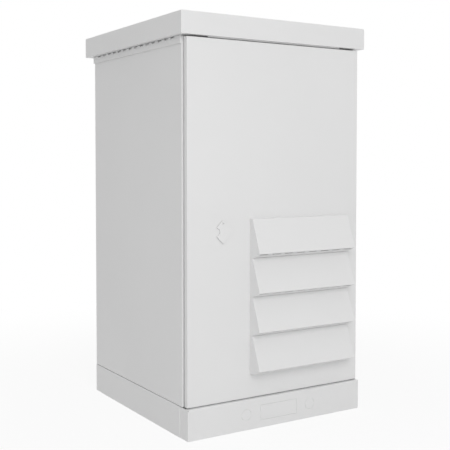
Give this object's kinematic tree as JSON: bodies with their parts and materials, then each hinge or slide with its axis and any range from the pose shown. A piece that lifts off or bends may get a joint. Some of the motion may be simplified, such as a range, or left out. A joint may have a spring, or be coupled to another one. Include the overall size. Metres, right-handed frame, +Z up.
{
  "type": "roadside utility cabinet",
  "caption": "Free-standing sheet-metal outdoor cabinet on a plinth, with a hinged door, a louvred air inlet, a covered lock, an overhanging roof and rack rails inside.",
  "frame": {"origin": "middle of the plinth's footprint, on the ground", "axes": "+Z up, the door faces -Y, +X to the right of someone facing the door"},
  "size_m": [0.74, 0.805, 1.35],
  "materials": {
    "paint": "satin light grey powder coat",
    "zinc": "galvanised",
    "rubber": "matt",
    "plastic": "fine grain",
    "copper": "bare copper",
    "filter": "fibre mat"
  },
  "bodies": {
    "cabinet": {"plinth_front_cover": "paint", "plinth_rear_cover": "paint", "plinth_left_cover": "paint", "plinth_right_cover": "paint", "plinth_corner_front_left": "zinc", "plinth_corner_front_right": "zinc", "plinth_corner_rear_left": "zinc", "plinth_corner_rear_right": "zinc", "plinth_cover_clips": "plastic", "plinth_bolts": "zinc", "floor_plate": "zinc", "gland_plate": "zinc", "cable_glands": "plastic", "corner_post_front_left": "zinc", "corner_post_front_right": "zinc", "corner_post_rear_left": "zinc", "corner_post_rear_right": "zinc", "left_side_panel": "paint", "right_side_panel": "paint", "rear_panel": "paint", "rear_panel_screws": "zinc", "front_frame": "paint", "top_band": "paint", "ceiling_plate": "zinc", "roof_cap": "paint", "roof_spacers": "zinc", "roof_bolts": "zinc", "fan_housing": "plastic", "fan_guard": "zinc", "rack_rail_front_left": "zinc", "rack_rail_front_right": "zinc", "rack_rail_rear_left": "zinc", "rack_rail_rear_right": "zinc", "rail_bracket_lower_left": "zinc", "rail_bracket_lower_right": "zinc", "rail_bracket_upper_left": "zinc", "rail_bracket_upper_right": "zinc", "earth_bar": "copper", "hinge_frame_leaves": "zinc"},
    "door": {"door_panel": "paint", "door_gasket": "rubber", "door_stiffener_left": "zinc", "door_stiffener_right": "zinc", "louvre_hood_1": "paint", "louvre_hood_2": "paint", "louvre_hood_3": "paint", "louvre_hood_4": "paint", "filter_frame": "plastic", "filter_mat": "filter", "filter_knobs": "plastic", "lock_base": "paint", "lock_case": "zinc", "rod_guides": "plastic", "hinge_door_leaves": "zinc"},
    "lock_cover": {"lock_cover": "paint"},
    "lock": {"lock_barrel": "zinc"},
    "upper_rod": {"upper_rod": "zinc"},
    "lower_rod": {"lower_rod": "zinc"},
    "fan": {"fan_impeller": "plastic"}
  },
  "joints": [
    {"name": "door_swing", "type": "hinge", "parent": "cabinet", "child": "door", "pos_m": [0.351, -0.327, 0.687], "axis": [0, 0, 1], "range_deg": [0, 135]},
    {"name": "lock_cover_swing", "type": "hinge", "parent": "door", "child": "lock_cover", "pos_m": [-0.216, -0.353, 0.684], "axis": [0, 1, 0], "range_deg": [-120, 120]},
    {"name": "lock_turn", "type": "hinge", "parent": "door", "child": "lock", "pos_m": [-0.216, -0.33, 0.656], "axis": [0, 1, 0], "range_deg": [0, 90]},
    {"name": "upper_rod_slide", "type": "slide", "parent": "door", "child": "upper_rod", "axis": [0, 0, 1], "range_m": [0, 0.0204]},
    {"name": "lower_rod_slide", "type": "slide", "parent": "door", "child": "lower_rod", "axis": [0, 0, -1], "range_m": [0, 0.0204]},
    {"name": "fan_spin", "type": "hinge", "parent": "cabinet", "child": "fan", "pos_m": [0, 0.017, 1.29], "axis": [0, 0, 1], "continuous": true}
  ],
  "couplings": [
    {"joint": "lock_turn", "follows": "upper_rod_slide", "rad_per_m": 76.923},
    {"joint": "lower_rod_slide", "follows": "upper_rod_slide", "ratio": 1}
  ]
}
